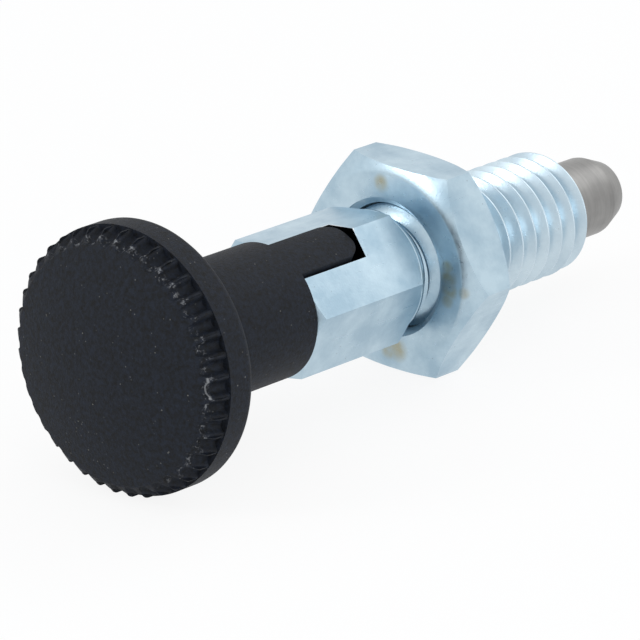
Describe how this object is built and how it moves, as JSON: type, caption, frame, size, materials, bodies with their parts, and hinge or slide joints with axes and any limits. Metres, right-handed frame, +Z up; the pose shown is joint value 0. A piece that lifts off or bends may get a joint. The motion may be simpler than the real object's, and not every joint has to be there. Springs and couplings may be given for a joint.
{
  "type": "indexing plunger",
  "caption": "Spring-loaded indexing plunger with a threaded shank, a slotted hexagonal body, a thin lock nut and a fluted pull knob.",
  "frame": {"origin": "on the axis at the shoulder where the hexagonal part of the body ends and the threaded shank begins", "axes": "+X along the axis towards the nose of the locking pin, +Z up with a flat of the lock nut facing down, and the slotted corner of the hexagon about 22 degrees from +Z towards -Y"},
  "size_m": [0.046, 0.0162, 0.0162],
  "materials": {
    "zinc_plated_steel": "satin, pale blue passivated",
    "ground_steel": "ground, hardened",
    "spring_steel": "drawn wire",
    "black_plastic": "fine matt moulded texture"
  },
  "bodies": {
    "guide": {"guide_body": "zinc_plated_steel", "compression_spring": "spring_steel"},
    "plunger": {"plunger_pin": "ground_steel", "pull_knob": "black_plastic"},
    "nut": {"lock_nut": "zinc_plated_steel"}
  },
  "joints": [
    {"name": "pull", "type": "slide", "parent": "guide", "child": "plunger", "axis": [-1, 0, 0], "range_m": [0, 0.0056], "stiffness_N_per_m": 1200, "springref_m": -0.004, "deforming": ["compression_spring"]},
    {"name": "nut_turn", "type": "hinge", "parent": "guide", "child": "nut", "pos_m": [0, 0, 0], "axis": [1, 0, 0], "continuous": true}
  ]
}
